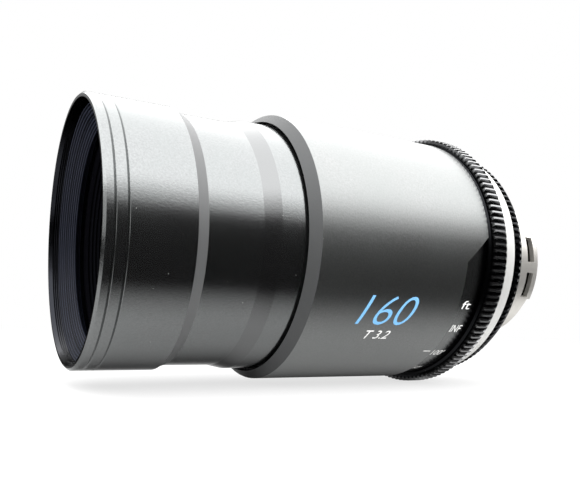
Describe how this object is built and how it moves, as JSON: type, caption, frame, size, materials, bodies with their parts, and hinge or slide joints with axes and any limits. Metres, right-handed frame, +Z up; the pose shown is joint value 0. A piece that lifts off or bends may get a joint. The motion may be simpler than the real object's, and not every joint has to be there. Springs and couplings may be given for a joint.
{
  "type": "cinema prime lens",
  "caption": "Long cinema prime lens with a geared focus ring and a geared iris ring, a sliding front barrel and a lugged rear mount.",
  "frame": {"origin": "centre of the mount's flange seat, on the optical axis", "axes": "+X along the optical axis from the front rim to the camera, +Z up as pictured"},
  "size_m": [0.202, 0.1072, 0.1072],
  "materials": {
    "black_anodised": "satin black anodised",
    "black_inner": "matt black",
    "gear_black": "black anodised, cut teeth",
    "scale_black": "dark satin anodised",
    "bright_metal": "polished bright metal",
    "plain_aluminium": "turned",
    "brass": "turned",
    "steel": "ground",
    "blade_steel": "blackened spring steel",
    "glass": "coated optical glass",
    "felt": "black felt",
    "washer_plastic": "low-friction plastic"
  },
  "bodies": {
    "chassis": {"carrier_ring": "black_inner", "felt_seal": "felt", "flange_screws": "steel", "focus_stop_pin": "steel", "focus_washers": "washer_plastic", "glass_4": "glass", "glass_5": "glass", "glass_6_rear": "glass", "guide_tube": "plain_aluminium", "housing_grub_screws": "steel", "iris_base_plate": "plain_aluminium", "iris_housing": "plain_aluminium", "iris_side_retainer": "black_inner", "main_sleeve": "black_anodised", "middle_ring": "bright_metal", "mount_ring": "bright_metal", "mount_screws": "steel", "rear_baffle": "black_inner", "rear_cell": "black_inner", "rear_housing": "bright_metal", "rear_retainer": "black_inner", "rear_spacer": "black_inner", "shim_ring": "bright_metal"},
    "focus_ring": {"focus_gear": "gear_black", "scale_ring": "scale_black", "scale_grub_screws": "steel", "cam_drum": "brass", "drum_dowels": "steel"},
    "front_group": {"front_ring": "black_anodised", "ribbed_baffle": "black_inner", "front_barrel": "black_anodised", "follower_pins": "steel", "follower_rollers": "steel", "front_cell": "black_inner", "glass_1_front": "glass", "front_retainer": "black_inner", "glass_2": "glass", "front_spacer": "black_inner", "glass_3": "glass", "inner_retainer": "black_inner"},
    "iris_ring": {"iris_gear": "gear_black", "iris_drive_pin": "steel", "iris_rotor": "brass"},
    "blade_1": {"iris_blade_1": "blade_steel"},
    "blade_2": {"iris_blade_2": "blade_steel"},
    "blade_3": {"iris_blade_3": "blade_steel"},
    "blade_4": {"iris_blade_4": "blade_steel"},
    "blade_5": {"iris_blade_5": "blade_steel"},
    "blade_6": {"iris_blade_6": "blade_steel"},
    "blade_7": {"iris_blade_7": "blade_steel"},
    "blade_8": {"iris_blade_8": "blade_steel"},
    "blade_9": {"iris_blade_9": "blade_steel"}
  },
  "joints": [
    {"name": "focus_turn", "type": "hinge", "parent": "chassis", "child": "focus_ring", "pos_m": [-0.045, 0, 0], "axis": [1, 0, 0], "range_deg": [-270, 13]},
    {"name": "front_slide", "type": "slide", "parent": "chassis", "child": "front_group", "axis": [1, 0, 0], "range_m": [-0.01432, 0.0007]},
    {"name": "iris_turn", "type": "hinge", "parent": "chassis", "child": "iris_ring", "pos_m": [-0.0285, 0, 0], "axis": [1, 0, 0], "range_deg": [0, 50]},
    {"name": "blade_1_swing", "type": "hinge", "parent": "chassis", "child": "blade_1", "pos_m": [-0.0315, 0.0335, 0], "axis": [1, 0, 0], "range_deg": [-0.01, 38.01]},
    {"name": "blade_2_swing", "type": "hinge", "parent": "chassis", "child": "blade_2", "pos_m": [-0.0315, 0.02566, 0.02153], "axis": [1, 0, 0], "range_deg": [-0.01, 38.01]},
    {"name": "blade_3_swing", "type": "hinge", "parent": "chassis", "child": "blade_3", "pos_m": [-0.0315, 0.00582, 0.03299], "axis": [1, 0, 0], "range_deg": [-0.01, 38.01]},
    {"name": "blade_4_swing", "type": "hinge", "parent": "chassis", "child": "blade_4", "pos_m": [-0.0315, -0.01675, 0.02901], "axis": [1, 0, 0], "range_deg": [-0.01, 38.01]},
    {"name": "blade_5_swing", "type": "hinge", "parent": "chassis", "child": "blade_5", "pos_m": [-0.0315, -0.03148, 0.01146], "axis": [1, 0, 0], "range_deg": [-0.01, 38.01]},
    {"name": "blade_6_swing", "type": "hinge", "parent": "chassis", "child": "blade_6", "pos_m": [-0.0315, -0.03148, -0.01146], "axis": [1, 0, 0], "range_deg": [-0.01, 38.01]},
    {"name": "blade_7_swing", "type": "hinge", "parent": "chassis", "child": "blade_7", "pos_m": [-0.0315, -0.01675, -0.02901], "axis": [1, 0, 0], "range_deg": [-0.01, 38.01]},
    {"name": "blade_8_swing", "type": "hinge", "parent": "chassis", "child": "blade_8", "pos_m": [-0.0315, 0.00582, -0.03299], "axis": [1, 0, 0], "range_deg": [-0.01, 38.01]},
    {"name": "blade_9_swing", "type": "hinge", "parent": "chassis", "child": "blade_9", "pos_m": [-0.0315, 0.02566, -0.02153], "axis": [1, 0, 0], "range_deg": [-0.01, 38.01]}
  ],
  "couplings": [
    {"joint": "front_slide", "follows": "focus_turn", "m_per_rad": 0.0030369},
    {"joint": "blade_1_swing", "follows": "iris_turn", "ratio": 0.76},
    {"joint": "blade_2_swing", "follows": "iris_turn", "ratio": 0.76},
    {"joint": "blade_3_swing", "follows": "iris_turn", "ratio": 0.76},
    {"joint": "blade_4_swing", "follows": "iris_turn", "ratio": 0.76},
    {"joint": "blade_5_swing", "follows": "iris_turn", "ratio": 0.76},
    {"joint": "blade_6_swing", "follows": "iris_turn", "ratio": 0.76},
    {"joint": "blade_7_swing", "follows": "iris_turn", "ratio": 0.76},
    {"joint": "blade_8_swing", "follows": "iris_turn", "ratio": 0.76},
    {"joint": "blade_9_swing", "follows": "iris_turn", "ratio": 0.76}
  ]
}
